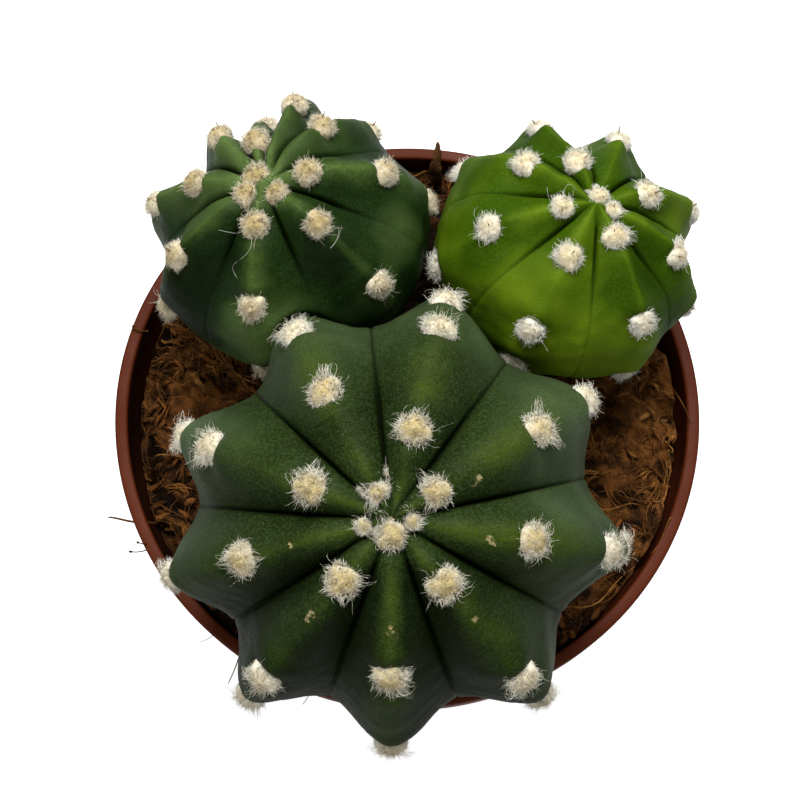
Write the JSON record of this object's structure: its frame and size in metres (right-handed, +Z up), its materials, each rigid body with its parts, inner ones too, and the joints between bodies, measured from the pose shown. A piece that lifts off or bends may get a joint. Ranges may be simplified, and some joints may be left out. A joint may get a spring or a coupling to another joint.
{
  "type": "potted round cactus",
  "caption": "Round ribbed cactus with woolly areoles, a large stem and smaller stems crowded in a round plastic nursery pot of coir.",
  "frame": {"origin": "middle of the pot's flat base, on the surface it stands on", "axes": "+Z up; -Y towards the side that the big stem leans to; +X towards the bright green stem's side"},
  "size_m": [0.12, 0.1311, 0.1624],
  "materials": {
    "pot_plastic": "thin terracotta-coloured plastic, satin",
    "coir": "damp brown coir and peat, rough",
    "bark": "dry bark, rough",
    "skin_front": "waxy grey-green cactus skin, matte",
    "skin_left": "waxy deep green cactus skin, satin",
    "skin_right": "waxy bright green cactus skin, satin",
    "wool": "cream plant wool with a yellowish heart",
    "spine": "short brown horny spines",
    "fibre": "dry golden-brown coir fibres"
  },
  "bodies": {
    "root": {"pot": "pot_plastic", "soil": "coir", "bark_sliver": "bark", "cactus_front": "skin_front", "cactus_left": "skin_left", "cactus_right": "skin_right"}
  },
  "joints": []
}
